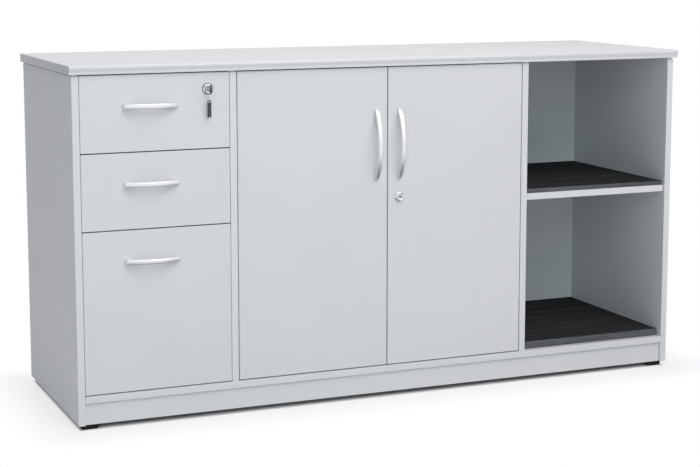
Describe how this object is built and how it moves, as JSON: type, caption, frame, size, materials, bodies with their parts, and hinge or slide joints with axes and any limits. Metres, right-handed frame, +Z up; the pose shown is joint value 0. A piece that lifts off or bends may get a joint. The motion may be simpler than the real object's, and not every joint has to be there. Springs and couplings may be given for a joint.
{
  "type": "office credenza",
  "caption": "Low grey board credenza with a stack of lockable drawers, a two-door lockable cupboard and an open bay with a shelf, on low glides",
  "frame": {"origin": "Middle of the bounding box on the floor plane, so the glides stand on Z = 0", "axes": "+X along the width to the right seen from the front, +Y from the fronts to the back, +Z up"},
  "size_m": [1.432, 0.4784, 0.75],
  "materials": {
    "grey_board": "matt light grey melamine",
    "charcoal_board": "charcoal wood grain laminate",
    "satin_silver": "satin silver lacquer",
    "painted_steel": "grey epoxy",
    "hinge_steel": "nickel plated",
    "chrome": "polished",
    "dark_key": "dark gloss",
    "black_plastic": "matt"
  },
  "bodies": {
    "carcass": {"top_panel": "grey_board", "left_side_panel": "grey_board", "right_side_panel": "grey_board", "bottom_panel": "grey_board", "back_panel": "grey_board", "front_plinth": "grey_board", "drawer_partition": "grey_board", "shelf_partition": "grey_board", "open_shelf": "grey_board", "upper_shelf_liner": "charcoal_board", "lower_shelf_liner": "charcoal_board", "cupboard_shelf": "grey_board", "foot_front_left": "black_plastic", "foot_front_right": "black_plastic", "foot_rear_left": "black_plastic", "foot_rear_right": "black_plastic", "top_drawer_left_runner": "painted_steel", "top_drawer_right_runner": "painted_steel", "middle_drawer_left_runner": "painted_steel", "middle_drawer_right_runner": "painted_steel", "file_drawer_left_runner": "painted_steel", "file_drawer_right_runner": "painted_steel", "left_upper_hinge_arm": "hinge_steel", "left_lower_hinge_arm": "hinge_steel", "right_upper_hinge_arm": "hinge_steel", "right_lower_hinge_arm": "hinge_steel"},
    "top_drawer": {"top_drawer_front": "grey_board", "top_drawer_handle": "satin_silver", "top_drawer_left_side": "painted_steel", "top_drawer_right_side": "painted_steel", "top_drawer_back": "grey_board", "top_drawer_bottom": "grey_board", "drawer_lock_barrel": "chrome"},
    "middle_drawer": {"middle_drawer_front": "grey_board", "middle_drawer_handle": "satin_silver", "middle_drawer_left_side": "painted_steel", "middle_drawer_right_side": "painted_steel", "middle_drawer_back": "grey_board", "middle_drawer_bottom": "grey_board"},
    "file_drawer": {"file_drawer_front": "grey_board", "file_drawer_handle": "satin_silver", "file_drawer_left_side": "painted_steel", "file_drawer_right_side": "painted_steel", "file_drawer_back": "grey_board", "file_drawer_bottom": "grey_board"},
    "left_door": {"left_door": "grey_board", "left_door_handle": "satin_silver", "left_upper_hinge_cup": "hinge_steel", "left_lower_hinge_cup": "hinge_steel"},
    "right_door": {"right_door": "grey_board", "right_door_handle": "satin_silver", "right_upper_hinge_cup": "hinge_steel", "right_lower_hinge_cup": "hinge_steel", "door_lock_barrel": "chrome"},
    "drawer_lock": {"drawer_lock_plug": "chrome", "drawer_lock_cam": "hinge_steel", "drawer_key": "chrome"},
    "spare_keys": {"key_ring": "chrome", "spare_key": "dark_key"},
    "door_lock": {"door_lock_plug": "chrome"}
  },
  "joints": [
    {"name": "top_drawer_slide", "type": "slide", "parent": "carcass", "child": "top_drawer", "axis": [0, -1, 0], "range_m": [0, 0.3]},
    {"name": "middle_drawer_slide", "type": "slide", "parent": "carcass", "child": "middle_drawer", "axis": [0, -1, 0], "range_m": [0, 0.3]},
    {"name": "file_drawer_slide", "type": "slide", "parent": "carcass", "child": "file_drawer", "axis": [0, -1, 0], "range_m": [0, 0.3]},
    {"name": "left_door_hinge", "type": "hinge", "parent": "carcass", "child": "left_door", "pos_m": [-0.3376, -0.20335, 0.40165], "axis": [0, 0, -1], "range_deg": [0, 90]},
    {"name": "right_door_hinge", "type": "hinge", "parent": "carcass", "child": "right_door", "pos_m": [0.2886, -0.20335, 0.40165], "axis": [0, 0, 1], "range_deg": [0, 90]},
    {"name": "drawer_lock_turn", "type": "hinge", "parent": "top_drawer", "child": "drawer_lock", "pos_m": [-0.4245, -0.21085, 0.6956], "axis": [0, 1, 0], "range_deg": [0, 90]},
    {"name": "spare_keys_swing", "type": "hinge", "parent": "drawer_lock", "child": "spare_keys", "pos_m": [-0.4245, -0.22035, 0.6956], "axis": [0, 1, 0], "range_deg": [-90, 0]},
    {"name": "door_lock_turn", "type": "hinge", "parent": "right_door", "child": "door_lock", "pos_m": [0.0108, -0.21085, 0.4466], "axis": [0, 1, 0], "range_deg": [0, 90]}
  ],
  "couplings": [
    {"joint": "spare_keys_swing", "follows": "drawer_lock_turn", "ratio": -1}
  ]
}
